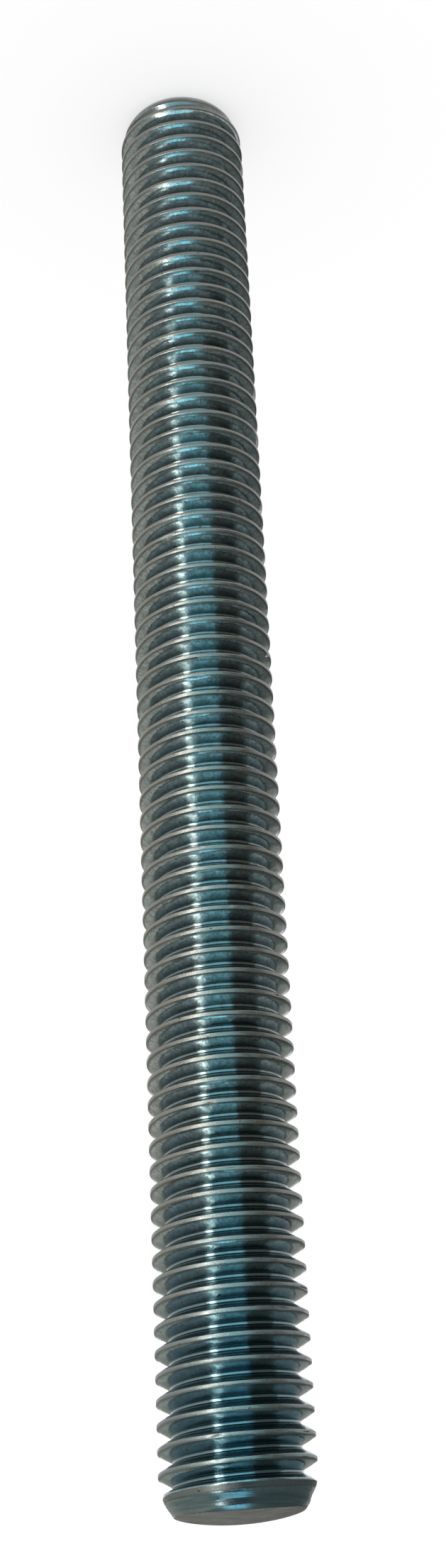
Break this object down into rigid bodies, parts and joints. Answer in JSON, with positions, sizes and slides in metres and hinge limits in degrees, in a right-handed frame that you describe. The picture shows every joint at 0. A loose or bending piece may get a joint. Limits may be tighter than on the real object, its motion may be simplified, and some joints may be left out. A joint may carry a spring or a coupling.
{
  "type": "threaded rod",
  "caption": "Straight steel bar with a coarse right-hand metric thread from end to end, rounded lead-ins and flat ends, for joining or hanging parts with nuts.",
  "frame": {"origin": "centre of the lower end face, on which the rod stands", "axes": "+Z along the rod's axis, from the end it stands on to the other end"},
  "size_m": [0.0118, 0.0118, 0.13],
  "materials": {
    "zinc_plated_steel": "bright zinc plate with a bluish passivation, smooth rolled flanks, fine lengthwise streaks and small nicks on the crests"
  },
  "bodies": {
    "root": {"threaded_rod": "zinc_plated_steel"}
  },
  "joints": []
}
